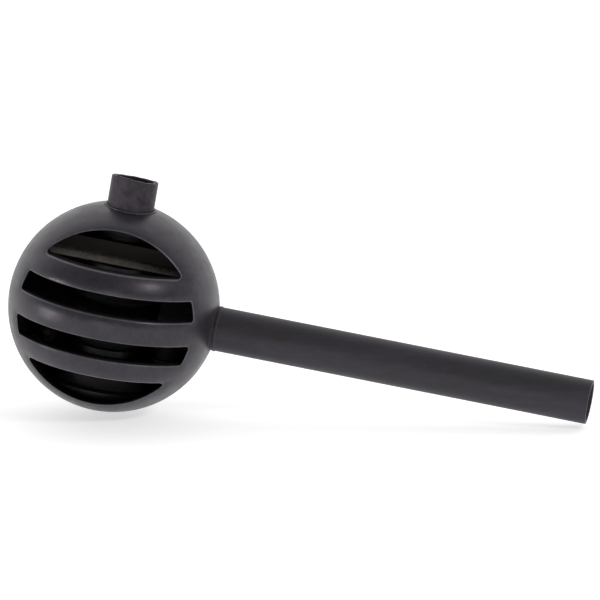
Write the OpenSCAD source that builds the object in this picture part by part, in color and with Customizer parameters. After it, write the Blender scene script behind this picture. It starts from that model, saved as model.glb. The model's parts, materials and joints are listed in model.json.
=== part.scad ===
// Thumb-operated dust blower: a barred ball that holds a small bellows pump, with a hollow
// plunger as its neck and a long straight nozzle tube. It lies on the ball and the tube's end.
// The blower's own frame has its origin at the ball's centre, the neck along +Z, the tube
// along +X and the window towards -Y. placed() tips that frame over until the tube touches down.

/* [Ball] */
// Outside diameter of the ball
ball_d = 60; // [60:0.5:62]
// Thickness of the ball's wall
wall = 2.4; // [2.2:0.1:2.6]
// Distance from the ball's centre back to the rear cover's joint
cover_y = 10; // [9.5:0.5:11]
// Length of the tongue that the rear cover slides inside the front shell
lap = 1.6; // [1:0.1:2]

/* [Window] */
// Half angle of the round window, seen from the ball's centre
window_angle = 57; // [54:1:58]
// Height of the middle bar
mid_bar_h = 7.1; // [6:0.1:7.5]
// Height of the slot on each side of the middle bar
slot_h = 5.8; // [5:0.1:6]
// Height of the upper and lower bars
side_bar_h = 5.9; // [5:0.1:6.5]
// Depth of the bars at the middle of the window
bar_depth = 4.6; // [3:0.1:5]
// Size of the bevel on the window's edges
bevel = 0.45; // [0.2:0.05:0.6]

/* [Neck] */
// Outside diameter of the neck
neck_d = 13.4; // [12.8:0.1:13.6]
// Height of the neck's mouth over the ball's centre, at its middle
neck_reach = 37.6; // [36:0.1:39]
// Slope of the neck's mouth, down towards the back
neck_slant = 7.8; // [0:0.1:13]
// Slope of the neck's mouth, down towards the tube
neck_side_slant = 1.1; // [0:0.1:4]
// How far the bush round the neck stands proud of the ball
lip = 0.4; // [0.1:0.1:0.8]

/* [Nozzle tube] */
// Outside diameter of the tube
tube_d = 12.6; // [12:0.1:12.8]
// Inside diameter of the tube
tube_bore_d = 10.6; // [9:0.1:10.8]
// Distance from the ball's centre to the tube's open end
tube_reach = 138; // [100:1:170]
// How far the tube's axis passes under the ball's centre
tube_drop = 0.6; // [0.2:0.1:1.4]
// Length of tube held inside the ball, from the wall's surface
tube_grip = 9.5; // [8:0.5:9.5]

/* [Pump] */
// Largest outside diameter of the bellows' folds
bellows_d = 26.2; // [24:0.2:26.4]
// Number of folds
folds = 5; // [4:1:6]
// Diameter of the spring's wire
wire_d = 0.8; // [0.6:0.1:0.9]
// Turns of the return spring
spring_turns = 9; // [6:1:10]
// Distance from the neck's axis to the flat front edge of the pressure plate
plate_front = 10; // [9.8:0.1:11]
// Radius of the dome on top of the pressure plate
dome_r = 26.2; // [25:0.1:26.4]
// Diameter of the outlet's check ball
check_d = 4.4; // [4.2:0.1:4.6]

/* [Hidden] */
$fn = 96;
eps = 0.02;
run_gap = 0.05;
overshoot = 1.6;

// Ball and window
ball_r = ball_d / 2;
inner_r = ball_r - wall;
half_wall_r = ball_r - wall / 2;
window_r = ball_r * sin(window_angle);
window_y = ball_r * cos(window_angle);
window_inner_y = sqrt(pow(inner_r, 2) - pow(window_r, 2));
bar_pole_y = ball_r - bar_depth;
bar_back_c = (pow(inner_r, 2) - pow(bar_pole_y, 2)) / (2 * (bar_pole_y - window_inner_y));
slot_low = mid_bar_h / 2;
slot_high = slot_low + slot_h;
bar_high = slot_high + side_bar_h;
BARS = [[slot_high, bar_high], [-slot_low, slot_low], [-bar_high, -slot_high]];
GAPS = [[bar_high, ball_r], [slot_low, slot_high], [-slot_high, -slot_low], [-ball_r, -bar_high]];

// Nozzle tube
tube_r = tube_d / 2;
tube_bore_r = tube_bore_d / 2;
tube_z = -tube_drop;
tube_start = ball_r - tube_grip;
tube_edge = 0.25;
bead_h = 0.2;
bead_w = 0.9;
bead_x = ball_r - 0.2;
socket_r = tube_r + run_gap;
tube_hole_r = tube_r + 0.8;

// How the blower lies: the ball and the rim of the tube's end touch the bench together
rim_x = tube_reach - tube_edge;
rim_z = tube_drop + tube_r;
tilt = asin(ball_r / norm([rim_x, rim_z])) - atan(rim_z / rim_x);
front_x = tube_reach * cos(tilt) + (tube_z + tube_r - tube_edge) * sin(tilt);
shift_x = (ball_r - front_x) / 2;

// Neck and plunger
neck_r = neck_d / 2;
neck_wall = 1.3;
neck_bore_r = neck_r - neck_wall;
neck_hole_r = neck_r + 0.65;
bush_flange_w = 2.6;
bush_step = 1.2;
collar_low = 22.2;
flange_top = collar_low - 0.2;
flange_h = 1.4;
flange_low = flange_top - flange_h;
flange_r = neck_r + 0.9;
funnel_top = flange_top + 1.2;
stem_r = 3.2;
stem_bore_r = 2.1;
stem_low = 8.8;
bill_h = 4.5;
bill_t = 0.7;
sleeve_wall = 0.9;

// Pressure plate on the plunger's stem, with a dome up to the plunger's flange
plate_low = 14.25;
plate_h = 1.9;
plate_top = plate_low + plate_h;
plate_r = sqrt(pow(inner_r, 2) - pow(plate_top, 2)) - 0.35;
dome_front = plate_front - 0.6;
cup_r = 8;
cup_bore_r = 6.9;
cup_h = 4;
nut_h = 2.4;
nut_r = 4.9;

// Base block and the outlet beside it
block_top = -13.5;
block_h = 7.5;
block_low = block_top - block_h;
block_r = 13;
gasket_h = 0.5;
riser_x = 17.5;
riser_r = 3.8;
riser_bore_r = 2.75;
inlet_r = 2;
outlet_r = 1.6;
foot_r = 4.6;
foot_h = 1;
channel_z = block_top - 2.7;
channel_r = 1.3;
elbow_back = 13.9;
elbow_r = 8;
elbow_front = 24.2;
chamber_r = 4.4;
seal_r = 0.5;
seal_x = elbow_front - 0.75;
seat_top = -10;
seat_h = 1.5;
seat_bore_r = 1.5;
check_r = check_d / 2;
check_z = seat_top + sqrt(pow(check_r, 2) - pow(seat_bore_r, 2)) + eps;
check_lift = 2.2;
pin_r = 0.5;
pin_z = check_z + check_lift + check_r + pin_r + 0.1;
base_screw_r = 1.5;
base_hole_r = base_screw_r + 0.1;
screw_head_r = 2.8;
head_hole_r = screw_head_r + 0.1;
head_low = -ball_r + 0.5;
head_h = 1.35;

// Bellows and spring between the base block and the pressure plate
bellows_r = bellows_d / 2;
cuff_r = cup_r + eps;
cuff_wall = 0.9;
cuff_h = 3.2;
valley_r = cuff_r + cuff_wall + 0.5;
fold_wall = 1.3;
clamp_wall = 0.8;
clamp_h = 1.8;
clamp_inset = 0.9;
fold_low = block_top + cup_h;
fold_high = plate_low - cup_h;
spring_r = 5.75;

// Two screws hold the rear cover
pillar_r = 2.7;
pillar_xz = [18.4, -12.9];
pillar_front = 6.5;
web_w = 2.2;
screw_r = 1;
cover_head_r = 1.9;
cover_head_y = 15.6;
cover_screw_tip = 7;

module placed() {
    translate([shift_x, 0, ball_r]) rotate([0, tilt, 0]) children();
}

// A cylinder along +X from x1 to x2, on the tube's axis
module tube_rod(r, x1, x2) {
    translate([x1, 0, tube_z]) rotate([0, 90, 0]) cylinder(r = r, h = x2 - x1);
}

// A cylinder along +Z from z1 to z2
module post(r, z1, z2) {
    translate([0, 0, z1]) cylinder(r = r, h = z2 - z1);
}

// A tube along +Z
module sleeve(r_out, r_in, z1, z2) {
    difference() {
        post(r_out, z1, z2);
        post(r_in, z1 - 1, z2 + 1);
    }
}

// A cylinder along +Y from y1 to y2, at [x, z]
module rod_y(r, xz, y1, y2) {
    translate([xz[0], y1, xz[1]]) rotate([-90, 0, 0]) cylinder(r = r, h = y2 - y1);
}

// Everything between two distances along Y
module slab_y(y1, y2) {
    translate([-ball_d, y1, -ball_d]) cube([2 * ball_d, y2 - y1, 2 * ball_d]);
}

// Everything between two heights in front of the ball's centre
module slab_z(z1, z2) {
    translate([-ball_d, -ball_d, z1]) cube([2 * ball_d, ball_d, z2 - z1]);
}

// The round column that the window is cut with
module window_column() {
    rod_y(window_r, [0, 0], -ball_r - 2, 0);
}

// Bevel along the upper outer edge of a bar whose top is at height z
module bar_bevel(z) {
    edge_r = sqrt(pow(ball_r, 2) - pow(z, 2));
    reach = overshoot * bevel;
    corner = [edge_r - bevel, z];
    on_ball = [edge_r + bevel * z / ball_r, z - bevel * edge_r / ball_r];
    far = corner + (on_ball - corner) * overshoot;
    rotate_extrude() polygon([corner, far, [far[0] + reach, far[1]],
        [far[0] + reach, z + reach], [corner[0], z + reach]]);
}

// Bevel round the window's outer edge
module window_bevel() {
    corner = [window_r, -window_y + bevel];
    on_ball = [window_r + bevel * cos(window_angle), -window_y + bevel * sin(window_angle)];
    far = corner + (on_ball - corner) * overshoot;
    rotate([-90, 0, 0]) rotate_extrude() polygon([corner, far, [far[0], far[1] - 2],
        [corner[0] - 1, far[1] - 2], [corner[0] - 1, corner[1]]]);
}

module window_cut() {
    intersection() {
        window_column();
        for (gap = GAPS) slab_z(gap[0], gap[1]);
    }
    intersection() {
        window_bevel();
        for (gap = GAPS) slab_z(gap[0], gap[1]);
    }
    intersection() {
        window_column();
        union() {
            for (bar = BARS) bar_bevel(bar[1]);
            for (bar = BARS) mirror([0, 0, 1]) bar_bevel(-bar[0]);
        }
    }
}

// The hollow of the ball; it is shallower behind the window, where the bars are thick
module hollow() {
    intersection() {
        sphere(r = inner_r);
        translate([0, bar_back_c, 0]) sphere(r = bar_pole_y + bar_back_c);
    }
}

// A screw pillar with a web out to the ball's wall
module pillar(side, y1, y2) {
    xz = [side * pillar_xz[0], pillar_xz[1]];
    angle = atan2(xz[1], xz[0]);
    intersection() {
        sphere(r = half_wall_r);
        union() {
            rod_y(pillar_r, xz, y1, y2);
            translate([0, y1, 0]) rotate([0, -angle, 0])
                translate([norm(xz) + screw_r + 0.4, 0, -web_w / 2])
                    cube([ball_r, y2 - y1 - eps, web_w]);
        }
    }
}

module front_shell() color([0.13, 0.13, 0.14]) placed() {
    difference() {
        union() {
            difference() {
                sphere(r = ball_r);
                hollow();
                slab_y(cover_y + lap, ball_d);
                intersection() {
                    sphere(r = half_wall_r);
                    slab_y(cover_y, cover_y + lap + 1);
                }
                window_cut();
            }
            for (side = [-1, 1]) pillar(side, pillar_front, cover_y);
        }
        post(neck_hole_r, collar_low, ball_r + 1);
        tube_rod(tube_hole_r, elbow_front, ball_r + 1);
        post(base_hole_r, -ball_r - 1, -inner_r + 2);
        post(head_hole_r, -ball_r - 1, head_low);
        translate([0, 0, head_low - eps]) cylinder(r1 = head_hole_r, r2 = base_hole_r, h = head_h + 0.05);
        for (side = [-1, 1])
            rod_y(screw_r, [side * pillar_xz[0], pillar_xz[1]], cover_screw_tip - 0.3, cover_y + 1);
    }
}

module rear_cover() color([0.13, 0.13, 0.14]) placed() {
    difference() {
        union() {
            difference() {
                sphere(r = ball_r);
                sphere(r = inner_r);
                slab_y(-ball_d, cover_y);
                difference() {
                    slab_y(cover_y - 1, cover_y + lap);
                    sphere(r = half_wall_r - run_gap);
                }
            }
            intersection() {
                sphere(r = half_wall_r);
                for (side = [-1, 1])
                    rod_y(pillar_r, [side * pillar_xz[0], pillar_xz[1]], cover_y, ball_r);
            }
        }
        for (side = [-1, 1]) {
            rod_y(screw_r + 0.15, [side * pillar_xz[0], pillar_xz[1]], cover_y - 1, ball_r);
            rod_y(cover_head_r + 0.2, [side * pillar_xz[0], pillar_xz[1]], cover_head_y, ball_r + 1);
        }
    }
}

module cover_screws() color([0.35, 0.35, 0.37]) placed() {
    for (side = [-1, 1]) {
        xz = [side * pillar_xz[0], pillar_xz[1]];
        rod_y(screw_r, xz, cover_screw_tip, cover_head_y + 0.5);
        difference() {
            rod_y(cover_head_r, xz, cover_head_y, cover_head_y + 1.5);
            translate([xz[0] - 1.2, cover_head_y + 0.8, xz[1] - 0.25]) cube([2.4, 2, 0.5]);
            translate([xz[0] - 0.25, cover_head_y + 0.8, xz[1] - 1.2]) cube([0.5, 2, 2.4]);
        }
    }
}

// Bush that guides the plunger; its lip stands proud of the ball
module guide_collar() color([0.11, 0.11, 0.12]) placed() {
    difference() {
        union() {
            intersection() {
                post(neck_hole_r - eps, collar_low, ball_r + 1);
                sphere(r = ball_r + lip);
            }
            intersection() {
                post(neck_hole_r + bush_flange_w, collar_low + bush_step, ball_r);
                sphere(r = inner_r - eps);
            }
        }
        post(neck_r + run_gap, collar_low - 1, ball_r + 2);
    }
}

// Hollow plunger: the neck is its upper end, closed by the thumb while it is pressed
module plunger_tube() color([0.12, 0.12, 0.13]) placed() {
    difference() {
        union() {
            post(neck_r, flange_low, neck_reach + 3);
            post(flange_r, flange_low, flange_top);
            post(stem_r, stem_low, flange_top);
        }
        post(neck_bore_r, funnel_top, neck_reach + 4);
        translate([0, 0, flange_low + 1])
            cylinder(r1 = stem_bore_r, r2 = neck_bore_r, h = funnel_top - flange_low - 0.99);
        post(stem_bore_r, stem_low - 1, flange_top);
        translate([0, 0, neck_reach]) rotate([-neck_slant, neck_side_slant, 0])
            translate([-ball_r, -ball_r, 0]) cube([ball_d, ball_d, ball_r]);
    }
}

// Round plate with a flat front edge, the dome over it and the cup that the bellows is clipped to
module pressure_plate() color([0.2, 0.18, 0.16]) placed() {
    difference() {
        union() {
            intersection() {
                post(plate_r, plate_low, plate_top);
                slab_y(-plate_front, ball_d);
            }
            intersection() {
                sphere(r = dome_r);
                post(ball_r, plate_top - 0.1, flange_low - eps);
                slab_y(-dome_front, ball_d);
            }
            post(cup_r, plate_low - cup_h, plate_low + 0.1);
        }
        post(cup_bore_r, plate_low - cup_h - 1, plate_low);
        post(stem_r + eps, plate_low - 1, flange_low + 1);
    }
}

module plate_nut() color([0.75, 0.6, 0.3]) placed() {
    difference() {
        translate([0, 0, plate_low - nut_h]) cylinder(r = nut_r, h = nut_h, $fn = 6);
        post(stem_r + eps, plate_low - nut_h - 1, plate_low + 1);
    }
}

// Duckbill valve on the stem's lower end: it lets air into the bellows only
module intake_valve() color([0.3, 0.1, 0.08]) placed() {
    sleeve_r = stem_r + sleeve_wall;
    bill_z = stem_low - bill_h;
    difference() {
        union() {
            post(sleeve_r, stem_low, plate_low - nut_h - 0.3);
            hull() {
                post(sleeve_r, stem_low - 0.5, stem_low);
                translate([-sleeve_r, -bill_t, bill_z]) cube([2 * sleeve_r, 2 * bill_t, 0.5]);
            }
        }
        post(stem_r + eps, stem_low, plate_low);
        hull() {
            post(stem_bore_r, stem_low - 0.5, stem_low + 0.1);
            translate([-stem_bore_r, -0.1, bill_z - 0.1]) cube([2 * stem_bore_r, 0.2, 0.1]);
        }
    }
}

module bellows_upper_clamp() color([0.6, 0.6, 0.62]) placed() {
    sleeve(cuff_r + cuff_wall + clamp_wall, cuff_r + cuff_wall + eps,
        plate_low - clamp_inset - clamp_h, plate_low - clamp_inset);
}

// Rubber bellows: a cuff at each end and the folds between them
module bellows() color([0.06, 0.06, 0.06]) placed() {
    half = (fold_high - fold_low) / (2 * folds);
    outer = [for (i = [0 : 2 * folds]) [i % 2 == 0 ? valley_r : bellows_r, fold_low + i * half]];
    inner = [for (i = [2 * folds : -1 : 0]) [outer[i][0] - fold_wall, outer[i][1]]];
    rotate_extrude() polygon(concat(
        [[cuff_r, block_top + eps], [cuff_r + cuff_wall, block_top + eps],
            [cuff_r + cuff_wall, block_top + cuff_h]],
        outer,
        [[cuff_r + cuff_wall, plate_low - cuff_h], [cuff_r + cuff_wall, plate_low - eps],
            [cuff_r, plate_low - eps]],
        inner));
}

// Helix of round wire, as a closed surface of rings
module coil(r, wire_r, z1, z2, turns, steps = 20, sides = 8) {
    n = turns * steps;
    rise = (z2 - z1) / n;
    rings = [for (i = [0 : n]) for (j = [0 : sides - 1])
        let (a = i * 360 / steps, b = j * 360 / sides, d = r + wire_r * cos(b))
        [d * cos(a), d * sin(a), z1 + i * rise + wire_r * sin(b)]];
    skin = [for (i = [0 : n - 1]) for (j = [0 : sides - 1])
        let (p = i * sides + j, q = i * sides + (j + 1) % sides)
        each [[p, p + sides, q], [q, p + sides, q + sides]]];
    ends = [[for (j = [0 : sides - 1]) j], [for (j = [sides - 1 : -1 : 0]) n * sides + j]];
    polyhedron(points = rings, faces = concat(skin, ends), convexity = 10);
}

module return_spring() color([0.7, 0.7, 0.72]) placed() {
    wire_r = wire_d / 2;
    coil(spring_r, wire_r, block_top + wire_r + eps, plate_low - wire_r - eps, spring_turns);
}

module bellows_lower_clamp() color([0.6, 0.6, 0.62]) placed() {
    sleeve(cuff_r + cuff_wall + clamp_wall, cuff_r + cuff_wall + eps,
        block_top + clamp_inset, block_top + clamp_inset + clamp_h);
}

// Block that closes the bellows and leads its air sideways to the riser
module base_block() color([0.16, 0.16, 0.17]) placed() {
    difference() {
        union() {
            post(block_r, block_low, block_top);
            intersection() {
                union() {
                    translate([riser_x, 0, 0]) post(foot_r, channel_z - 2, block_top);
                    translate([0, -foot_r, channel_z - 2])
                        cube([riser_x, 2 * foot_r, block_top - channel_z + 2]);
                }
                sphere(r = inner_r - 0.1);
            }
            post(cup_r, block_top - 0.1, block_top + cup_h);
        }
        post(cup_bore_r, block_top, block_top + cup_h + 1);
        post(inlet_r, channel_z, block_top + 1);
        translate([0, 0, channel_z]) rotate([0, 90, 0]) cylinder(r = channel_r, h = ball_r);
        translate([riser_x, 0, 0]) post(outlet_r, channel_z, block_top + 1);
        post(base_screw_r, block_low - 1, channel_z - channel_r - 0.7);
    }
}

// Closes the outer end of the drilled channel
module channel_plug() color([0.72, 0.58, 0.3]) placed() {
    intersection() {
        translate([riser_x + 1.8, 0, channel_z]) rotate([0, 90, 0])
            cylinder(r = channel_r - eps, h = ball_r);
        sphere(r = inner_r - 0.3);
    }
}

module base_gasket() color([0.1, 0.1, 0.1]) placed() {
    sleeve(block_r, base_hole_r, block_low - gasket_h, block_low);
}

// Metal weight in the floor of the ball; it keeps the neck on top
module ballast_weight() color([0.72, 0.58, 0.3]) placed() {
    difference() {
        intersection() {
            sphere(r = inner_r - 0.1);
            post(ball_r, -ball_r, block_low - gasket_h);
        }
        post(base_hole_r, -ball_r, 0);
    }
}

// Countersunk screw from below, through the wall and the weight into the block
module base_screw() color([0.35, 0.35, 0.37]) placed() {
    difference() {
        union() {
            translate([0, 0, head_low]) cylinder(r1 = screw_head_r, r2 = base_screw_r, h = head_h);
            post(base_screw_r, head_low + 0.5, channel_z - channel_r - 0.9);
        }
        for (turn = [0, 90]) rotate([0, 0, turn])
            translate([-1.4, -0.3, head_low - 1]) cube([2.8, 0.6, 1.8]);
    }
}

module riser_gasket() color([0.1, 0.1, 0.1]) placed() {
    translate([riser_x, 0, 0]) sleeve(foot_r, riser_bore_r, block_top, block_top + gasket_h);
}

// Riser and elbow: leads the air up past the bellows and holds the tube
module outlet_elbow() color([0.16, 0.16, 0.17]) placed() {
    foot_low = block_top + gasket_h;
    difference() {
        union() {
            tube_rod(elbow_r, elbow_back, elbow_front);
            translate([riser_x, 0, 0]) post(riser_r, foot_low, tube_z);
            translate([riser_x, 0, 0]) post(foot_r, foot_low, foot_low + foot_h);
        }
        tube_rod(chamber_r, elbow_back + 1, elbow_front);
        tube_rod(socket_r, tube_start - 0.5, elbow_front + 1);
        tube_rod(socket_r + 2 * seal_r, seal_x - seal_r - 0.1, elbow_front + 1);
        translate([riser_x, 0, 0]) post(riser_bore_r, foot_low - 1, tube_z);
        rod_y(pin_r, [riser_x, pin_z], -ball_r, ball_r);
    }
}

module valve_seat() color([0.72, 0.58, 0.3]) placed() {
    translate([riser_x, 0, 0]) sleeve(riser_bore_r - eps, seat_bore_r, seat_top - seat_h, seat_top);
}

// Rests on the seat; the outgoing air lifts it as far as the stop pin
module check_ball() color([0.8, 0.8, 0.82]) placed() {
    translate([riser_x, 0, check_z]) sphere(r = check_r);
}

module ball_stop_pin() color([0.6, 0.6, 0.62]) placed() {
    rod_y(pin_r, [riser_x, pin_z], -elbow_r + 1.5, elbow_r - 1.5);
}

module tube_seal() color([0.1, 0.1, 0.1]) placed() {
    translate([seal_x, 0, tube_z]) rotate([0, 90, 0]) rotate_extrude()
        translate([socket_r + seal_r, 0]) circle(r = seal_r - eps, $fn = 32);
}

// Bush in the ball's wall that the tube is pushed through
module socket_collar() color([0.11, 0.11, 0.12]) placed() {
    difference() {
        union() {
            intersection() {
                tube_rod(tube_hole_r - eps, elbow_front, ball_r + 1);
                sphere(r = ball_r + 0.1);
            }
            intersection() {
                tube_rod(tube_hole_r + 2, elbow_front, ball_r);
                sphere(r = inner_r - eps);
            }
        }
        tube_rod(socket_r, elbow_front - 1, ball_r + 2);
    }
}

// Straight tube, pushed in until its bead meets the ball
module nozzle_tube() color([0.25, 0.26, 0.26]) placed() {
    bead_r = tube_r + bead_h;
    translate([0, 0, tube_z]) rotate([0, 90, 0]) rotate_extrude() polygon([
        [tube_bore_r, tube_start], [tube_r - 0.3, tube_start], [tube_r, tube_start + 0.6],
        [tube_r, bead_x], [bead_r - bead_h / 2, bead_x], [bead_r, bead_x + bead_h / 2],
        [bead_r, bead_x + bead_w - bead_h], [tube_r, bead_x + bead_w],
        [tube_r, tube_reach - tube_edge], [tube_r - tube_edge, tube_reach],
        [tube_bore_r + tube_edge, tube_reach], [tube_bore_r, tube_reach - tube_edge]]);
}

front_shell();
rear_cover();
cover_screws();
guide_collar();
plunger_tube();
pressure_plate();
plate_nut();
intake_valve();
bellows_upper_clamp();
bellows();
return_spring();
bellows_lower_clamp();
base_block();
channel_plug();
base_gasket();
ballast_weight();
base_screw();
riser_gasket();
outlet_elbow();
valve_seat();
check_ball();
ball_stop_pin();
tube_seal();
socket_collar();
nozzle_tube();
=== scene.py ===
"""Looks of a thumb-operated dust blower: a barred black ball, a hollow plunger neck and a long tube.

Shapes are worked out in the blower's own frame, in millimetres: the ball's centre is the origin,
+X runs along the tube, -Y faces out of the window and +Z along the neck. TO_ROW places that frame.
"""
import json
import math

import bmesh
import bpy
import numpy as np
from mathutils import Matrix, Quaternion, Vector
from mathutils.geometry import delaunay_2d_cdt


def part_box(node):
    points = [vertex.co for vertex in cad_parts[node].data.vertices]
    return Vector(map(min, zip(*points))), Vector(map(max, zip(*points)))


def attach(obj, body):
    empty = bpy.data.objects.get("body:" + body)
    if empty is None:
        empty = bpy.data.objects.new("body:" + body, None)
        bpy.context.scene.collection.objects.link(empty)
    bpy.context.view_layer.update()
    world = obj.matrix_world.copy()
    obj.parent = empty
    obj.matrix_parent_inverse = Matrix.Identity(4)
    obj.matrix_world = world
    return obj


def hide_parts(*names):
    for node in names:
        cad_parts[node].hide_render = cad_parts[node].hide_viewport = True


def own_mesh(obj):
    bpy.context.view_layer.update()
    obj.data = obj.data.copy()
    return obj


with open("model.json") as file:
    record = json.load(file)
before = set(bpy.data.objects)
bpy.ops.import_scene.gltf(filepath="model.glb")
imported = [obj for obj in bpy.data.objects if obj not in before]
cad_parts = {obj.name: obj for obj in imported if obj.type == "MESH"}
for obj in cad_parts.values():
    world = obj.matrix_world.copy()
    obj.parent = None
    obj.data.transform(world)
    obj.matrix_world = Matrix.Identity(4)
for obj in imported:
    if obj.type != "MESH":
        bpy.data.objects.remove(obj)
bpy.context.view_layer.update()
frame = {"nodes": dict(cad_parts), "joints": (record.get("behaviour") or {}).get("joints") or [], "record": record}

# ---------------------------------------------------------------- the blower's own frame
MM = 0.001
joints = {joint["name"]: joint for joint in frame["joints"]}
neck_axis = -Vector(joints["plunger_press"]["axis"]).normalized()
tube_axis = Vector(joints["nozzle_pull"]["axis"]).normalized()
back_axis = neck_axis.cross(tube_axis)
shell_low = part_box("front_shell")[0]
BALL_R = -shell_low[1] / MM
ball_centre = Vector((shell_low[0] + BALL_R * MM, 0.0, BALL_R * MM))
TO_ROW = Matrix.Translation(ball_centre) @ Matrix((
    (tube_axis.x, back_axis.x, neck_axis.x, 0),
    (tube_axis.y, back_axis.y, neck_axis.y, 0),
    (tube_axis.z, back_axis.z, neck_axis.z, 0),
    (0, 0, 0, 1))) @ Matrix.Scale(MM, 4)

# ---------------------------------------------------------------- sizes, as in the CAD model
# The crown, the roundings and the mouth's side slant are finer here than there.

# Ball and cover.
WALL = 2.4
INNER_R = BALL_R - WALL
COVER_Y = 10.0
LAP = 1.6
SEAM_ROUND = 0.25

# Window and bars.
WINDOW_R = BALL_R * math.sin(math.radians(57))
MID_BAR_H = 7.1
SLOT_H = 5.8
SIDE_BAR_H = 5.9
SLOT_EDGES = (MID_BAR_H / 2, MID_BAR_H / 2 + SLOT_H, MID_BAR_H / 2 + SLOT_H + SIDE_BAR_H)
BAR_DEPTH = 4.6
CROWN_DEPTH = 0.45
CROWN_WIDTH = 2.5
BAR_ROUND = 0.4
BACK_ROUND = 0.3
HOLE_ROUND = 0.2

# Pillars of the cover's screws.
PILLAR_X, PILLAR_Z = 18.4, -12.9
PILLAR_R = 2.7
PILLAR_BORE_R = 1.0
PILLAR_FRONT = 6.5
WEB_W = 2.2

# Neck and its bush.
RUN_GAP = 0.05
BUSH_FIT = 0.03
NECK_R = 6.7
NECK_HOLE_R = NECK_R + 0.65
NECK_REACH = 37.6
NECK_SLANT = math.tan(math.radians(7.8))
NECK_SIDE_SLANT = math.tan(math.radians(4.4))
NECK_WALL = 1.3
COLLAR_LIP = 0.4
COLLAR_LOW = 22.2
BUSH_FLANGE_W = 2.6
BUSH_STEP_W = 1.5
BUSH_STEP_H = 1.2
FLANGE_R = NECK_R + 0.9
FLANGE_TOP = COLLAR_LOW - 0.2
FLANGE_H = 1.4
STEM_R = 3.2
STEM_BORE_R = 2.1
STEM_LOW = 8.8

# Tube and its bush.
TUBE_R = 6.3
TUBE_BORE_R = 5.3
TUBE_HOLE_R = TUBE_R + 0.8
TUBE_DROP = 0.6
TUBE_REACH = 138.0
TUBE_START = BALL_R - 9.5
SOCKET_LOW = 24.2
SOCKET_FLANGE_W = 2.0
BEAD_X = BALL_R - 0.2
BEAD_W = 0.9
BEAD_H = 0.2

# Plate, block and the bellows between them.
PLATE_LOW = 14.25
PLATE_TOP = 16.15
BLOCK_TOP = -13.5
CUP_H = 4.0

# ---------------------------------------------------------------- mesh helpers

FACE_STEP = 0.75    # between the points of the ball's outer surface, in millimetres
HOLLOW_STEP = 1.3   # the same for its inner surface
ROW_RATIO = 0.866   # rows of even triangles lie this much closer than the points in a row
BORDER_GAP = 0.55   # least share of the spacing between a border and the points inside it
# The bars' rounded edges are painted lighter than the ball, as a painted highlight.
EDGE_FACE = 1       # material index of the rounded edges of the bars
SHADED_FACE = 1     # material index of the faces inside the ball, painted darker as painted shade


def new_object(name, data, place=(0.0, 0.0, 0.0)):
    thing = bpy.data.objects.new(name, data)
    thing.location = place
    bpy.context.scene.collection.objects.link(thing)
    return thing


def finished(name, bm, materials, body, replaced, sharp=40):
    """Turns bm, in the blower's frame, into a piece that rides on body and stands for CAD nodes."""
    bmesh.ops.remove_doubles(bm, verts=bm.verts, dist=1e-4)
    bmesh.ops.recalc_face_normals(bm, faces=bm.faces)
    bm.transform(TO_ROW)
    mesh = bpy.data.meshes.new(name)
    bm.to_mesh(mesh)
    bm.free()
    piece = new_object(name, mesh)
    for material in materials:
        mesh.materials.append(material)
    mesh.shade_smooth()
    mesh.set_sharp_from_angle(angle=math.radians(sharp))
    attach(piece, body)
    for node in replaced:
        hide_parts(node)
    return piece


def bridge(bm, ring_a, ring_b, material_index=0):
    """Quads between two closed rings of as many vertices."""
    count = len(ring_a)
    for i in range(count):
        j = (i + 1) % count
        face = bm.faces.new((ring_a[i], ring_a[j], ring_b[j], ring_b[i]))
        face.material_index = material_index


def arc(centre, radius, start, end, steps):
    """Points (a, b) along an arc, angles in degrees."""
    return [(centre[0] + radius * math.cos(math.radians(start + (end - start) * i / steps)),
             centre[1] + radius * math.sin(math.radians(start + (end - start) * i / steps)))
            for i in range(steps + 1)]


def lathe(bm, profile, place, segments=96, shape=None):
    """Closed surface of revolution.

    profile is a closed loop of (radius, height) or (radius, height, share), and
    shape(angle, radius, share) gives what is added to the height there."""
    rings = []
    for point in profile:
        share = point[2] if len(point) > 2 else 0.0
        ring = []
        for i in range(segments):
            angle = 2 * math.pi * i / segments
            lift = shape(angle, point[0], share) if shape else 0.0
            a, b = point[0] * math.cos(angle), point[0] * math.sin(angle)
            ring.append(bm.verts.new(place(a, b, point[1] + lift)))
        rings.append(ring)
    for k, ring in enumerate(rings):
        bridge(bm, ring, rings[(k + 1) % len(rings)])


def along_neck(a, b, h):
    return (a, b, h)


def along_tube(a, b, h):
    return (h, a, b - TUBE_DROP)


def out_of_window(a, b, h):
    return (a, -h, b)


# ---------------------------------------------------------------- the ball's front shell


def to_map(p):
    """Azimuthal map of a direction about -Y, in radians."""
    v = Vector(p).normalized()
    theta = math.acos(max(-1.0, min(1.0, -v.y)))
    phi = math.atan2(v.z, v.x)
    return (theta * math.cos(phi), theta * math.sin(phi))


def from_map(u, v):
    """The direction that to_map sends to (u, v)."""
    theta = math.hypot(u, v)
    phi = math.atan2(v, u)
    aside = math.sin(theta)
    return Vector((aside * math.cos(phi), -math.cos(theta), aside * math.sin(phi)))


def inside(points, loop):
    """Which of the points lie inside a closed loop, by counting crossings."""
    hit = np.zeros(len(points), bool)
    x, y = points[:, 0], points[:, 1]
    for (x1, y1), (x2, y2) in zip(loop, np.roll(loop, -1, axis=0)):
        if y1 == y2:
            continue
        crosses = (y1 > y) != (y2 > y)
        hit ^= crosses & (x < (x2 - x1) * (y - y1) / (y2 - y1) + x1)
    return hit


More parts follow.
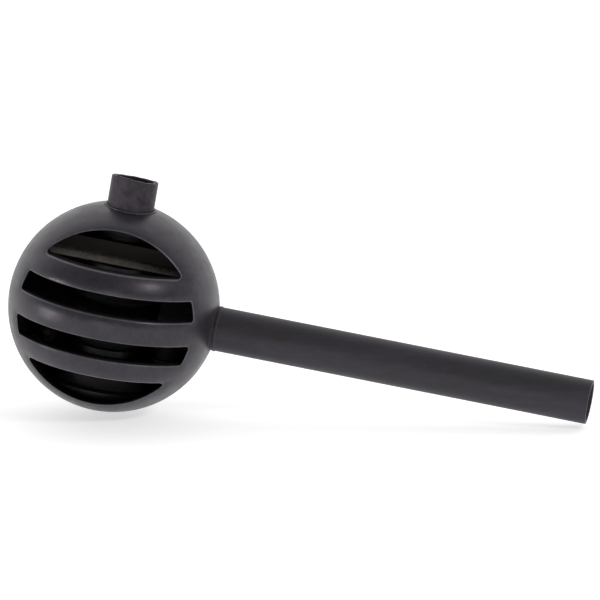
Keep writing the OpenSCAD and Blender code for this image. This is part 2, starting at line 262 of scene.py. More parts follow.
def skin(bm, rim, holes, radius, spacing):
    """Triangles between an outer rim and holes, all rings of vertices, over the ball.

    radius(direction) is how far out the surface lies, and spacing is the distance between its
    points, in radians."""
    loops = [np.array([to_map(v.co) for v in ring]) for ring in [rim] + holes]
    reach = np.abs(loops[0]).max()
    rows = int(2 * reach / (spacing * ROW_RATIO)) + 2
    columns = int(2 * reach / spacing) + 2
    grid = np.array([(-reach + (i + 0.5 * (j % 2)) * spacing, -reach + j * spacing * ROW_RATIO)
                     for j in range(rows) for i in range(columns)])
    keep = inside(grid, loops[0])
    for loop in loops[1:]:
        keep &= ~inside(grid, loop)
    grid = grid[keep]
    border = np.vstack(loops)
    far = np.array([np.min(np.hypot(*(border - p).T)) > BORDER_GAP * spacing for p in grid])
    grid = grid[far]
    verts = [v for ring in [rim] + holes for v in ring]
    verts += [bm.verts.new(from_map(*p) * radius(from_map(*p))) for p in grid]
    coords = np.vstack([border, grid])
    edges, start = [], 0
    for loop in loops:
        edges += [(start + i, start + (i + 1) % len(loop)) for i in range(len(loop))]
        start += len(loop)
    made = delaunay_2d_cdt([Vector(c) for c in coords], edges, [], 0, 1e-9)
    out_coords, faces, origin = made[0], made[2], made[3]
    source = [verts[o[0]] if o else None for o in origin]
    faces = [f for f in faces if all(source[i] is not None for i in f)]
    middles = np.array([sum((out_coords[i] for i in f), Vector((0, 0))) / 3 for f in faces])
    keep = inside(middles, loops[0])
    for loop in loops[1:]:
        keep &= ~inside(middles, loop)
    for f, good in zip(faces, keep):
        if good:
            bm.faces.new([source[i] for i in f])


def window_outline(low, high, grow, corner=0.7):
    """Outline of one window opening in the (x, z) plane, grown by grow.

    It is the part of the window's circle between two heights, with rounded corners. low or high is
    None where the circle itself bounds the opening."""
    radius, turn = WINDOW_R + grow, corner + grow
    points = []

    def span(z):
        return math.sqrt((WINDOW_R - corner) ** 2 - z ** 2)

    def corner_arc(x, z, start, end):
        points.extend(arc((x, z), turn, start, end, 6))

    ends = []
    for z, side in ((low, 1), (high, -1)):
        if z is not None:
            centre_z = z + side * corner
            ends.append((span(centre_z), centre_z, side))
    lean = [math.degrees(math.atan2(z, x)) for x, z, _ in ends]
    if len(ends) == 2:
        (x1, z1, _), (x2, z2, _) = ends
        corner_arc(x1, z1, -90, lean[0])
        points.extend(arc((0, 0), radius, lean[0], lean[1], 10)[1:-1])
        corner_arc(x2, z2, lean[1], 90)
        points.extend(straight((x2, z2 + turn), (-x2, z2 + turn), 40))
        corner_arc(-x2, z2, 90, 180 - lean[1])
        points.extend(arc((0, 0), radius, 180 - lean[1], 180 - lean[0], 10)[1:-1])
        corner_arc(-x1, z1, 180 - lean[0], 270)
        points.extend(straight((-x1, z1 - turn), (x1, z1 - turn), 40))
        return points
    x1, z1, side = ends[0]
    corner_arc(x1, z1, -90 * side, lean[0])
    points.extend(arc((0, 0), radius, lean[0], side * 180 - lean[0], 60)[1:-1])
    corner_arc(-x1, z1, side * 180 - lean[0], side * 270)
    points.extend(straight((-x1, z1 - side * turn), (x1, z1 - side * turn), 40))
    return points


def straight(start, end, steps):
    """Points between start and end, without the two ends."""
    (a1, b1), (a2, b2) = start, end
    return [(a1 + (a2 - a1) * i / steps, b1 + (b2 - b1) * i / steps) for i in range(1, steps)]


def round_outline(radius, count=96):
    """Points around a circle."""
    return [(radius * math.cos(2 * math.pi * i / count), radius * math.sin(2 * math.pi * i / count))
            for i in range(count)]


def opening(bm, place, outline, outer, inner, outer_round, inner_round, edge_index=0, steps=5):
    """Wall of one opening, with rounded edges. Gives the two rings that the skins start from.

    outline(grow) is its shape across place's third axis, outer(a, b) and inner(a, b) are how far out
    the shell's two surfaces lie, and edge_index is the material index of the outer edge."""
    def ring(grow, height):
        return [bm.verts.new(place(a, b, height(a, b))) for a, b in outline(grow)]

    rings = []
    for i in range(steps + 1):
        t = math.pi / 2 * (1 - i / steps)
        grow, drop = outer_round * (1 - math.cos(t)), outer_round * (1 - math.sin(t))
        rings.append(ring(grow, lambda a, b: outer(a, b) - drop))
    for i in range(steps + 1):
        t = math.pi / 2 * i / steps
        grow, rise = inner_round * (1 - math.cos(t)), inner_round * (1 - math.sin(t))
        rings.append(ring(grow, lambda a, b: inner(a, b) + rise))
    for k, (ring_a, ring_b) in enumerate(zip(rings, rings[1:])):
        bridge(bm, ring_a, ring_b, edge_index if k < steps else 0)
    return rings[0], rings[-1]


def depth_of(radius):
    """How far out a sphere's surface lies, as a function of the place across."""
    return lambda a, b: math.sqrt(max(0.0, radius ** 2 - a ** 2 - b ** 2))


def crown(x, z):
    """How far the bars and the window's border fall away towards the openings, in millimetres."""
    outside = max(0.0, math.hypot(x, z) - WINDOW_R)
    across = min(abs(abs(z) - edge) for edge in SLOT_EDGES)
    on_bar = abs(z) < SLOT_EDGES[0] or SLOT_EDGES[1] < abs(z) < SLOT_EDGES[2]
    distance = math.hypot(outside, across) if on_bar else outside
    return CROWN_DEPTH * max(0.0, 1 - distance / CROWN_WIDTH) ** 2


def make_front_shell(materials):
    """Ball body. Behind the bars its hollow is a flatter sphere, with its centre shifted back, so
    that the bars are deepest in the middle and as thin as the wall at the window's edge."""
    bm = bmesh.new()
    slot_low, slot_high, bar_high = SLOT_EDGES
    pole = BALL_R - BAR_DEPTH
    edge_y = math.sqrt(INNER_R ** 2 - WINDOW_R ** 2)
    shift = (INNER_R ** 2 - pole ** 2) / (2 * (pole - edge_y))
    back_r = pole + shift

    def bar_face(a, b):
        return depth_of(BALL_R)(a, b) - crown(a, b)

    def face_radius(direction):
        """Radius of the outer surface; the crown is taken off along the window's axis."""
        if direction.y > 0:
            return BALL_R
        return BALL_R + crown(BALL_R * direction.x, BALL_R * direction.z) * direction.y

    def behind_bars(a, b):
        return min(depth_of(INNER_R)(a, b), depth_of(back_r)(a, b) - shift)

    def hollow_radius(direction):
        along = shift * direction.y
        return min(INNER_R, along + math.sqrt(along ** 2 - shift ** 2 + back_r ** 2))

    outer_rings, inner_rings = [], []
    gaps = ((bar_high, None), (slot_low, slot_high), (-slot_high, -slot_low), (None, -bar_high))
    for low, high in gaps:
        pair = opening(bm, out_of_window, lambda grow: window_outline(low, high, grow),
                       bar_face, behind_bars, BAR_ROUND, BACK_ROUND, EDGE_FACE)
        outer_rings.append(pair[0])
        inner_rings.append(pair[1])
    for place, radius, drop in ((along_neck, NECK_HOLE_R, 0.0), (along_tube, TUBE_HOLE_R, TUBE_DROP)):
        def outer(a, b, drop=drop):
            return depth_of(BALL_R)(a, b - drop)

        def inner(a, b, drop=drop):
            return depth_of(INNER_R)(a, b - drop)

        pair = opening(bm, place, lambda grow: round_outline(radius + grow), outer, inner,
                       HOLE_ROUND, HOLE_ROUND)
        outer_rings.append(pair[0])
        inner_rings.append(pair[1])

    half_r = BALL_R - WALL / 2
    lap_y = COVER_Y + LAP
    seam = [(BALL_R, lap_y - SEAM_ROUND), (BALL_R - SEAM_ROUND * 0.3, lap_y - SEAM_ROUND * 0.3),
            (BALL_R - SEAM_ROUND, lap_y), (half_r, lap_y), (half_r, COVER_Y), (INNER_R, COVER_Y)]
    rings = []
    for radius, y in seam:
        across = math.sqrt(radius ** 2 - y ** 2)
        rings.append([bm.verts.new((x, y, z)) for x, z in round_outline(across, 192)])
    for ring_a, ring_b in zip(rings, rings[1:]):
        bridge(bm, ring_a, ring_b)
    skin(bm, rings[0], outer_rings, face_radius, FACE_STEP / BALL_R)
    skin(bm, rings[-1], inner_rings, hollow_radius, HOLLOW_STEP / INNER_R)
    for side in (-1, 1):
        add_pillar(bm, side)
    return finished("front_shell_skin", bm, materials, "ball", ["front_shell"])


def add_pillar(bm, side):
    """Pillar for a cover screw, with a web out to the wall, as two closed solids.

    Each ends a hair before the cover, the web a little earlier than the pillar."""
    x0, z0 = side * PILLAR_X, PILLAR_Z
    bevel = 0.2
    end = COVER_Y - 0.02
    profile = [(PILLAR_BORE_R, PILLAR_FRONT), (PILLAR_R - bevel, PILLAR_FRONT),
               (PILLAR_R, PILLAR_FRONT + bevel), (PILLAR_R, end), (PILLAR_BORE_R, end)]
    lathe(bm, profile, lambda a, b, h: (x0 + a, h, z0 + b), 48)
    away = Vector((x0, 0, z0)).normalized()
    across = Vector((-away.z, 0, away.x)) * WEB_W / 2
    near = math.hypot(x0, z0) + 1.6
    far = math.sqrt((BALL_R - WALL / 2) ** 2 - COVER_Y ** 2)
    corners = [bm.verts.new(away * reach + across * turn + Vector((0, y, 0)))
               for y in (PILLAR_FRONT, COVER_Y - 0.04)
               for reach, turn in ((near, -1), (far, -1), (far, 1), (near, 1))]
    sides = [(i, i + 4, (i + 1) % 4 + 4, (i + 1) % 4) for i in range(4)]
    for face in [(0, 1, 2, 3), (7, 6, 5, 4)] + sides:
        bm.faces.new([corners[i] for i in face])


# ---------------------------------------------------------------- turned and moulded pieces


def darken_below(bm, height):
    """Faces under height, inside the ball, take the piece's second material, a darker one, as painted shade."""
    for face in bm.faces:
        if face.calc_center_median().z < height:
            face.material_index = SHADED_FACE


def rim_wave(angle):
    """Slight unevenness of the neck's hand-trimmed mouth, in millimetres."""
    waves = ((0.05, 3, 0.6), (0.04, 5, 0.0), (0.03, 11, 1.1))
    return sum(height * math.sin(count * angle + start) for height, count, start in waves)


def make_plunger(materials):
    """Neck with its stem, one moulding. The mouth's slope fades out towards the ball's surface."""
    bm = bmesh.new()
    bore_r = NECK_R - NECK_WALL
    lip, bevel = 0.3, 0.2
    low = FLANGE_TOP - FLANGE_H
    profile = [(STEM_R, STEM_LOW), (STEM_R, low), (FLANGE_R - bevel, low), (FLANGE_R, low + bevel),
               (FLANGE_R, FLANGE_TOP - bevel), (FLANGE_R - bevel, FLANGE_TOP), (NECK_R, FLANGE_TOP),
               (NECK_R, BALL_R)]
    profile += [(NECK_R, BALL_R + (NECK_REACH - lip - BALL_R) * k / 6, (k / 6) ** 2)
                for k in range(1, 6)]
    profile += [(r, z, 1.0) for r, z in arc((NECK_R - lip, NECK_REACH - lip), lip, 0, 90, 5)]
    profile += [(r, z, 1.0) for r, z in arc((bore_r + lip, NECK_REACH - lip), lip, 90, 180, 5)]
    profile += [(bore_r, NECK_REACH - 3, 0.4), (bore_r, FLANGE_TOP + 1.2), (STEM_BORE_R, low + 1),
                (STEM_BORE_R, STEM_LOW)]

    def slope(angle, radius, share):
        front = (1 - math.sin(angle)) / 2
        side = -radius * math.cos(angle) * NECK_SIDE_SLANT * front ** 2
        return share * (-radius * math.sin(angle) * NECK_SLANT + side + rim_wave(angle))

    lathe(bm, profile, along_neck, 128, slope)
    # Painted shade: the stem and flange inside the ball take the darker inner plastic.
    darken_below(bm, FLANGE_TOP + 0.1)
    return finished("plunger_neck", bm, materials, "plunger", ["plunger_tube"])


def make_collar(materials):
    """Bush round the neck, with a rounded lip just proud of the ball."""
    bm = bmesh.new()
    bore, outside = NECK_R + RUN_GAP, NECK_HOLE_R - BUSH_FIT
    edge = 0.2
    lip_z = math.sqrt((BALL_R + COLLAR_LIP) ** 2 - outside ** 2)
    flange = NECK_HOLE_R + BUSH_FLANGE_W
    flange_z = math.sqrt(INNER_R ** 2 - flange ** 2) - 0.1
    foot = flange - BUSH_STEP_W
    step_z = COLLAR_LOW + BUSH_STEP_H
    profile = [(bore, COLLAR_LOW), (foot, COLLAR_LOW), (foot, step_z), (flange, step_z),
               (flange, flange_z), (outside, flange_z + 0.8)]
    profile += arc((outside - edge, lip_z - edge), edge, 0, 90, 5)
    profile += arc((bore + edge, lip_z - edge), edge, 90, 180, 5)
    lathe(bm, profile, along_neck, 128)
    # Painted shade: the bush's faces inside the ball take the darker inner plastic.
    darken_below(bm, INNER_R)
    return finished("neck_bush", bm, materials, "ball", ["guide_collar"])


def make_socket(material):
    """Bush round the tube, flush with the ball's surface."""
    bm = bmesh.new()
    bore, outside = TUBE_R + RUN_GAP, TUBE_HOLE_R - BUSH_FIT
    edge = 0.15
    flange = TUBE_HOLE_R + SOCKET_FLANGE_W
    flange_x = math.sqrt(INNER_R ** 2 - (flange + TUBE_DROP) ** 2) - 0.1
    profile = [(bore, SOCKET_LOW), (flange, SOCKET_LOW), (flange, flange_x), (outside, flange_x)]
    profile += [(r, x, 1.0) for r, x in arc((outside - edge, -edge), edge, 0, 90, 4)]
    profile += [(r, x, 1.0) for r, x in arc((bore + edge, -edge), edge, 90, 180, 4)]

    def on_ball(angle, radius, share):
        a, b = radius * math.cos(angle), radius * math.sin(angle) - TUBE_DROP
        return share * (math.sqrt(BALL_R ** 2 - a ** 2 - b ** 2) + 0.05)

    lathe(bm, profile, along_tube, 96, on_ball)
    return finished("socket_bush", bm, [material], "ball", ["socket_collar"])


def make_tube(material):
    """Open tube with a chamfered inner end, a fine bead where it meets the ball and a rounded rim."""
    bm = bmesh.new()
    lip = 0.25
    bead_end = BEAD_X + BEAD_W
    profile = [(TUBE_BORE_R, TUBE_START), (TUBE_R - 0.3, TUBE_START), (TUBE_R, TUBE_START + 0.6),
               (TUBE_R, BEAD_X)]
    for k in range(1, 8):
        angle = math.pi * k / 8
        profile.append((TUBE_R + BEAD_H * math.sin(angle), BEAD_X + BEAD_W * (1 - math.cos(angle)) / 2))
    profile += [(TUBE_R, bead_end + (TUBE_REACH - lip - bead_end) * k / 12) for k in range(12)]
    profile += arc((TUBE_R - lip, TUBE_REACH - lip), lip, 0, 90, 4)
    profile += arc((TUBE_BORE_R + lip, TUBE_REACH - lip), lip, 90, 180, 4)
    profile += [(TUBE_BORE_R, TUBE_REACH - 10 * k) for k in range(1, 11)]
    lathe(bm, profile, along_tube, 96)
    return finished("nozzle_tube_skin", bm, [material], "nozzle", ["nozzle_tube"])


def make_bellows(material):
    """Rubber bellows with rounded folds. The cuff at each end reaches past its clamp even when squashed."""
    bm = bmesh.new()
    folds, steps = 5, 10
    low, high = BLOCK_TOP + CUP_H, PLATE_LOW - CUP_H
    valley, peak, skin_t = 9.5, 13.1, 0.8
    cuff, cuff_wall, cuff_h = 8.05, 0.88, 3.55

    def fold_radius(t):
        """Radius at t folds up: pointed crests and valleys, softly rounded."""
        wave = abs(2 * (t % 1.0) - 1)
        soft = wave ** 2 * (3 - 2 * wave)
        return peak + (valley - peak) * (0.75 * wave + 0.25 * soft)

    outer = [(fold_radius(k / steps), low + (high - low) * k / (steps * folds))
             for k in range(steps * folds + 1)]
    inner = [(radius - skin_t, z) for radius, z in reversed(outer)]
    outside = cuff + cuff_wall
    foot, head = BLOCK_TOP + RUN_GAP, PLATE_LOW - RUN_GAP
    profile = [(cuff, foot), (outside, foot), (outside, BLOCK_TOP + cuff_h)]
    profile += outer
    profile += [(outside, PLATE_LOW - cuff_h), (outside, head), (cuff, head)]
    profile += inner
    lathe(bm, profile, along_neck, 96)
    piece = finished("bellows_skin", bm, [material], "ball", ["bellows"], 60)
    squash_with_plunger(piece)
    return piece


def make_spring(material):
    """Return spring of round wire, whose pitch eases off in the first and last turn."""
    bm = bmesh.new()
    wire_r, mean_r, turns, steps, sides = 0.4, 5.75, 9.0, 32, 10
    low, high = BLOCK_TOP + wire_r + 0.02, PLATE_LOW - wire_r - 0.02
    rings = []
    for i in range(int(turns * steps) + 1):
        turn = i / steps
        ease = min(turn, turns - turn, 1.0)
        share = turn / turns
        flat = 0.0 if turn < turns / 2 else 1.0
        z = low + (high - low) * (share + (flat - share) * (1 - ease) ** 2 * 0.5)
        angle = 2 * math.pi * turn
        rings.append([bm.verts.new((
            (mean_r + wire_r * math.cos(a)) * math.cos(angle),
            (mean_r + wire_r * math.cos(a)) * math.sin(angle),
            z + wire_r * math.sin(a))) for a in (2 * math.pi * k / sides for k in range(sides))])
    for ring_a, ring_b in zip(rings, rings[1:]):
        bridge(bm, ring_a, ring_b)
    bm.faces.new(rings[0])
    bm.faces.new(rings[-1])
    piece = finished("return_spring_wire", bm, [material], "ball", ["return_spring"])
    squash_with_plunger(piece)
    return piece


def squash_with_plunger(piece):
    """Gives the piece a mesh of its own."""
    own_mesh(piece)


# ---------------------------------------------------------------- materials


class Nodes:
    """The node tree of a material or a world, with short calls for the nodes used here."""

    def __init__(self, owner):
        owner.use_nodes = True
        self.tree = owner.node_tree

    def add(self, kind, **values):
        node = self.tree.nodes.new(kind)
        for key, value in values.items():
            setattr(node, key, value)
        return node

    def link(self, output, socket):
        self.tree.links.new(output, socket)

    def ramp(self, value, stops):
        """Colour ramp; stops are (position, colour or grey)."""
        node = self.add("ShaderNodeValToRGB")
        ramp = node.color_ramp
        while len(ramp.elements) < len(stops):
            ramp.elements.new(0.5)
        for element, (position, colour) in zip(ramp.elements, stops):
            element.position = position
            element.color = (*colour, 1) if isinstance(colour, tuple) else (colour, colour, colour, 1)
        self.link(value, node.inputs["Fac"])
        return node.outputs["Color"]

    def mix(self, factor, a, b):
        node = self.add("ShaderNodeMix", data_type="RGBA")
        for socket, value in ((node.inputs[0], factor), (node.inputs[6], a), (node.inputs[7], b)):
            if hasattr(value, "is_output"):
                self.link(value, socket)
            elif isinstance(value, tuple):
                socket.default_value = (*value, 1)
            else:
                socket.default_value = value
        return node.outputs[2]

    def measure(self, operation, place, vector):
        """Dot product or distance of a place and a fixed vector."""
        node = self.add("ShaderNodeVectorMath", operation=operation)
        node.inputs[1].default_value = tuple(vector)
        self.link(place, node.inputs[0])
        return node.outputs["Value"]

    def scaled(self, value, reach, result=(0.0, 1.0)):
        """Value's reach stretched over result, and kept within it."""
        scale = self.add("ShaderNodeMapRange")
        for name, number in zip(("From Min", "From Max", "To Min", "To Max"), reach + result):
            scale.inputs[name].default_value = number
        self.link(value, scale.inputs["Value"])
        return scale.outputs["Result"]

    def math(self, operation, *values):
        node = self.add("ShaderNodeMath", operation=operation)
        for socket, value in zip(node.inputs, values):
            if hasattr(value, "is_output"):
                self.link(value, socket)
            else:
                socket.default_value = value
        return node.outputs[0]


class Surface(Nodes):
    """A new material, with patterns that are fixed to the blower and measured in millimetres."""

    def __init__(self, name):
        self.material = bpy.data.materials.new(name)
        super().__init__(self.material)
        self.shader = next(n for n in self.tree.nodes if n.type == "BSDF_PRINCIPLED")
        self.place = self.add("ShaderNodeTexCoord").outputs["Object"]

    def noise(self, size_mm, detail=3.0, rough=0.55, stretch=(1, 1, 1), offset=0.0):
        """Noise whose blobs are about size_mm across, in 0 to 1."""
        mapping = self.add("ShaderNodeMapping")
        mapping.inputs["Scale"].default_value = [1 / s for s in stretch]
        mapping.inputs["Location"].default_value = (offset, offset, offset)
        self.link(self.place, mapping.inputs["Vector"])
        node = self.add("ShaderNodeTexNoise")
        node.inputs["Scale"].default_value = 1 / (size_mm * MM)
        node.inputs["Detail"].default_value = detail
        node.inputs["Roughness"].default_value = rough
        self.link(mapping.outputs["Vector"], node.inputs["Vector"])
        return node.outputs["Fac"]

    def along(self, axis):
        """Distance from the ball's centre along an axis."""
        height = self.measure("DOT_PRODUCT", self.place, axis / MM)
        return self.math("SUBTRACT", height, ball_centre.dot(axis) / MM)

    def from_centre(self, near_mm, far_mm):
        """0 nearer than near_mm to the ball's centre, 1 beyond far_mm."""
        distance = self.measure("DISTANCE", self.place, ball_centre)
        return self.scaled(distance, (near_mm * MM, far_mm * MM))

    def bump(self, height, depth_mm, below=None):
        node = self.add("ShaderNodeBump")
        node.inputs["Distance"].default_value = depth_mm * MM
        node.inputs["Strength"].default_value = 1.0
        self.link(height, node.inputs["Height"])
        if below is not None:
            self.link(below, node.inputs["Normal"])
        return node.outputs["Normal"]


BLACK = (0.0, 0.0, 0.0)
DUST = (0.16, 0.155, 0.15)
PLATE_DUST = (0.22, 0.20, 0.18)
VIOLET_CAST = (0.98, 0.88, 1.0, 1.0)
# Share of the sheen and of the colour that a hollow piece keeps inside the ball; the lost colour is painted shade.
INSIDE_SHEEN = 0.25
INSIDE_TONE = 0.3


def moulded_plastic(name, dark, light, rough, sheen=0.5, stretch=(1, 1, 1), hollow=False):
    """Satin black moulded plastic: cloudy tone, fine mould grain, handling marks and a few dust specks.

    rough is the least and the most roughness. A hollow piece is painted darker inside the ball, as painted shade,
    and is duller there."""
    n = Surface(name)
    n.shader.inputs["Specular Tint"].default_value = VIOLET_CAST
    if hollow:
        # Painted shade mask: low inside the ball, rising to 1 at its outer face.
        shade_mask = n.from_centre(INNER_R - 1.2, BALL_R - 0.6)
        level = n.math("MULTIPLY_ADD", shade_mask, (1 - INSIDE_SHEEN) * sheen, INSIDE_SHEEN * sheen)
        n.link(level, n.shader.inputs["Specular IOR Level"])
    else:
        n.shader.inputs["Specular IOR Level"].default_value = sheen
    cloud = n.noise(9, detail=4, rough=0.6, stretch=stretch)
    mottle = n.noise(1.6, rough=0.6, stretch=stretch, offset=3.1)
    tone = n.ramp(n.mix(0.45, cloud, mottle), [(0.38, dark), (0.62, light)])
    specks = n.ramp(n.noise(0.5, detail=1, rough=0.5, offset=7.7), [(0.0, 0.0), (0.74, 0.0), (0.8, 1.0)])
    tone = n.mix(n.math("MULTIPLY", specks, 0.35), tone, DUST)
    if hollow:
        # Painted shade: inside the ball the tone is darkened towards black.
        tone = n.mix(n.math("MULTIPLY_ADD", shade_mask, 1 - INSIDE_TONE, INSIDE_TONE), BLACK, tone)
    n.link(tone, n.shader.inputs["Base Color"])
    handling = n.noise(5, detail=5, rough=0.65, stretch=stretch, offset=5.0)
    n.link(n.ramp(handling, [(0.25, rough[0]), (0.75, rough[1])]), n.shader.inputs["Roughness"])
    ripple = n.bump(n.noise(6, detail=2, rough=0.5, stretch=stretch, offset=1.3), 0.05)
    n.link(n.bump(n.noise(0.35, detail=2, rough=0.6), 0.012, ripple), n.shader.inputs["Normal"])
    return n.material


def dusty_plate(name):
    """Dull plate with faint lengthwise streaks and patches of dust. Its colour is painted darker upwards
    from the rim and over the dome, as painted shade, which begins lower towards the tube."""
    n = Surface(name)
    n.shader.inputs["Specular IOR Level"].default_value = 0.08
    # Painted shade: the plate darkens upwards from its rim and over its dome, beginning lower towards the tube.
    above = n.math("SUBTRACT", n.along(neck_axis), PLATE_TOP)
    shade_mask = n.scaled(n.along(tube_axis), (5.0, 13.0))
    grain = n.scaled(n.noise(0.7, detail=4, rough=0.7), (0.3, 0.7), (-0.4, 0.4))
    shade_height = n.math("ADD", n.math("ADD", above, shade_mask), grain)
    rim = n.scaled(shade_height, (-1.3, 0.6), (1.0, 0.11))
    streak = n.noise(1.2, detail=4, rough=0.6, stretch=(6, 1, 1))
    base = n.ramp(streak, [(0.3, (0.115, 0.103, 0.093)), (0.7, (0.18, 0.163, 0.146))])
    patches = n.noise(2.5, detail=6, rough=0.7, stretch=(2, 1, 1), offset=2.0)
    dusty = n.math("MULTIPLY", n.ramp(patches, [(0.45, 0.0), (0.75, 1.0)]), 0.4)
    # rim keeps the plate's colour low on the rim and paints the dome nearly black, as painted shade.
    n.link(n.mix(rim, BLACK, n.mix(dusty, base, PLATE_DUST)), n.shader.inputs["Base Color"])
    n.link(n.ramp(streak, [(0.3, 0.55), (0.7, 0.8)]), n.shader.inputs["Roughness"])
    n.link(n.bump(n.noise(0.4, rough=0.6, stretch=(4, 1, 1)), 0.03), n.shader.inputs["Normal"])
    return n.material


def soft_rubber(name, dark, light):
    """Matt rubber with a chalky bloom."""
    n = Surface(name)
    n.shader.inputs["Specular IOR Level"].default_value = 0.2
    bloom = n.noise(3, detail=5, rough=0.65)
    n.link(n.ramp(bloom, [(0.35, dark), (0.8, light)]), n.shader.inputs["Base Color"])
    n.link(n.ramp(bloom, [(0.3, 0.62), (0.8, 0.85)]), n.shader.inputs["Roughness"])
    n.link(n.bump(n.noise(0.5, rough=0.6), 0.02), n.shader.inputs["Normal"])
    return n.material


def turned_metal(name, dark, light, rough):
    """Bare metal with fine tool lines, slightly tarnished."""
    n = Surface(name)
    n.shader.inputs["Metallic"].default_value = 1.0
    tarnish = n.noise(3, detail=5, rough=0.6)
    n.link(n.ramp(tarnish, [(0.3, dark), (0.7, light)]), n.shader.inputs["Base Color"])
    lines = n.noise(0.6, rough=0.6, stretch=(1, 1, 0.1))
    n.link(n.ramp(lines, [(0.3, rough), (0.7, rough + 0.15)]), n.shader.inputs["Roughness"])
    grooves = n.noise(0.25, detail=2, rough=0.5, stretch=(8, 8, 1))
    n.link(n.bump(grooves, 0.006), n.shader.inputs["Normal"])
    return n.material


ball_black = moulded_plastic("ball_black", (0.012, 0.012, 0.015), (0.026, 0.024, 0.030),
                             (0.28, 0.46), hollow=True)
# Painted highlight: a lighter copy of the ball's plastic for the bars' rounded edges.
edge_highlight_black = moulded_plastic("edge_highlight_black", (0.05, 0.05, 0.055), (0.085, 0.083, 0.09),
                             (0.28, 0.38), hollow=True)
bush_black = moulded_plastic("bush_black", (0.016, 0.016, 0.017), (0.026, 0.025, 0.027), (0.35, 0.45))
neck_black = moulded_plastic("neck_black", (0.017, 0.015, 0.018), (0.053, 0.045, 0.055),
                             (0.42, 0.55), sheen=0.2)
tube_black = moulded_plastic("tube_black", (0.028, 0.029, 0.029), (0.043, 0.037, 0.049),
                             (0.42, 0.55), sheen=0.25, stretch=(5, 1, 1))
# Painted shade: interior plastic, darker than black plastic is, so the inside of the ball reads as shade.
inner_shade_black = moulded_plastic("inner_shade_black", (0.004, 0.004, 0.004), (0.008, 0.008, 0.008),
                              (0.6, 0.75), sheen=0.2)
plate_brown = dusty_plate("plate_brown")
bellows_black = soft_rubber("bellows_black", (0.005, 0.005, 0.005), (0.011, 0.011, 0.011))
seal_black = soft_rubber("seal_black", (0.010, 0.010, 0.010), (0.02, 0.02, 0.02))
valve_red = soft_rubber("valve_red", (0.16, 0.035, 0.025), (0.24, 0.06, 0.045))
bright_steel = turned_metal("bright_steel", (0.50, 0.50, 0.51), (0.66, 0.66, 0.67), 0.25)
black_steel = turned_metal("black_steel", (0.035, 0.035, 0.038), (0.06, 0.06, 0.064), 0.4)
black_brass = turned_metal("black_brass", (0.03, 0.029, 0.027), (0.05, 0.047, 0.042), 0.4)
turned_brass = turned_metal("turned_brass", (0.46, 0.32, 0.13), (0.62, 0.45, 0.20), 0.3)

SLOT_MATERIALS = {
    "ball_plastic": ball_black, "bush_plastic": bush_black, "neck_plastic": neck_black,
    "plate_plastic": plate_brown, "inner_plastic": inner_shade_black, "tube_plastic": tube_black,
    "screw_steel": black_steel, "bright_steel": bright_steel,
    "brass": turned_brass, "black_brass": black_brass,
    "bellows_rubber": bellows_black, "valve_rubber": valve_red, "seal_rubber": seal_black,
}


def dress_cad_nodes():
    """Every CAD node takes the material of its slot, also those that a finer piece stands for."""
    for part in frame["record"]["subparts"]:
        node = frame["nodes"][part["node"]]
        node.data.materials.clear()
        node.data.materials.append(SLOT_MATERIALS[part["material_slot"]])


# ---------------------------------------------------------------- camera, floor and light


VIEW_AZIMUTH = math.radians(8.7)
VIEW_ELEVATION = math.radians(12.0)
VIEW_ROLL = math.radians(-0.2)
VIEW_DISTANCE = 5.0
VIEW_WIDTH = 5.663 * BALL_R * MM
VIEW_ASIDE, VIEW_ABOVE = 0.05268, 0.00156   # the middle of the view, from the ball's centre
FLOOR_SIZE = 12.0
FLOOR_GLOW = 0.55
# The room's brightness, from 0 on the camera's side to 1 straight behind the blower.
ROOM_TONES = ((0.0, 0.16), (0.4, 0.20), (0.58, 0.5), (0.72, 1.0))
ROOM_STRENGTH = 1.15
# Soft lights: name, place and size in metres, power in watts.
LIGHTS = (
    ("soft_left", (-0.78, -0.36, 0.05), (0.20, 0.08), 1.3),
    ("soft_right", (0.65, -0.45, 0.58), (0.26, 0.14), 2.2),
    ("low_front", (-0.06, -0.80, 0.04), (0.22, 0.06), 0.35),
)


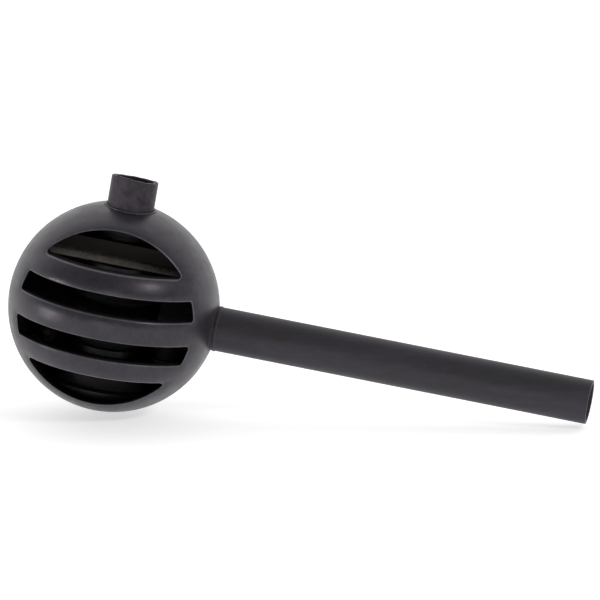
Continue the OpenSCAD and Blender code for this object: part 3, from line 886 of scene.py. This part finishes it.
def make_camera():
    """Long lens a little above and to the right of the window, with the ball left of the middle."""
    toward = Vector((math.sin(VIEW_AZIMUTH) * math.cos(VIEW_ELEVATION),
                     -math.cos(VIEW_AZIMUTH) * math.cos(VIEW_ELEVATION), math.sin(VIEW_ELEVATION)))
    right = Vector((math.cos(VIEW_AZIMUTH), math.sin(VIEW_AZIMUTH), 0.0))
    target = ball_centre + right * VIEW_ASIDE + toward.cross(right) * VIEW_ABOVE
    data = bpy.data.cameras.new("camera")
    data.sensor_width = 36.0
    data.lens = data.sensor_width * VIEW_DISTANCE / VIEW_WIDTH
    data.clip_start, data.clip_end = 0.01, 30.0
    camera = new_object("camera", data, target + toward * VIEW_DISTANCE)
    turn = toward.to_track_quat("Z", "Y") @ Quaternion((0, 0, 1), VIEW_ROLL)
    camera.rotation_euler = turn.to_euler()
    bpy.context.scene.camera = camera


def make_floor():
    """White light table that glows a little, as low as the tube's end dips when it is pulled."""
    n = Surface("floor_white")
    n.link(n.ramp(n.noise(40, detail=2), [(0.3, 0.86), (0.7, 0.88)]), n.shader.inputs["Base Color"])
    n.shader.inputs["Roughness"].default_value = 0.8
    n.shader.inputs["Emission Color"].default_value = (1.0, 1.0, 1.0, 1.0)
    n.shader.inputs["Emission Strength"].default_value = FLOOR_GLOW
    bm = bmesh.new()
    bmesh.ops.create_grid(bm, x_segments=1, y_segments=1, size=FLOOR_SIZE)
    mesh = bpy.data.meshes.new("floor")
    bm.to_mesh(mesh)
    bm.free()
    mesh.materials.append(n.material)
    dip = tube_axis.z * joints["nozzle_pull"]["range_m"][1]
    new_object("floor", mesh, (0.0, 0.0, dip))


def make_room():
    """White studio walls behind the blower, and a dim room on the camera's side."""
    world = bpy.data.worlds.new("studio")
    bpy.context.scene.world = world
    n = Nodes(world)
    behind = (-math.sin(VIEW_AZIMUTH), math.cos(VIEW_AZIMUTH), 0.0)
    direction = n.add("ShaderNodeTexCoord").outputs["Generated"]
    share = n.scaled(n.measure("DOT_PRODUCT", direction, behind), (-1.0, 1.0))
    background = n.tree.nodes["Background"]
    n.link(n.ramp(share, ROOM_TONES), background.inputs["Color"])
    background.inputs["Strength"].default_value = ROOM_STRENGTH
    bpy.context.scene.view_settings.view_transform = "Standard"


def make_lights():
    """Soft lights, all aimed at the ball."""
    for name, place, size, power in LIGHTS:
        data = bpy.data.lights.new(name, "AREA")
        data.shape = "RECTANGLE"
        data.size, data.size_y = size
        data.energy = power
        light = new_object(name, data, place)
        light.rotation_euler = (Vector(place) - ball_centre).to_track_quat("Z", "Y").to_euler()


dress_cad_nodes()
make_front_shell([ball_black, edge_highlight_black])
make_plunger([neck_black, inner_shade_black])
make_collar([bush_black, inner_shade_black])
make_socket(bush_black)
make_tube(tube_black)
make_bellows(bellows_black)
make_spring(bright_steel)
make_camera()
make_floor()
make_room()
make_lights()
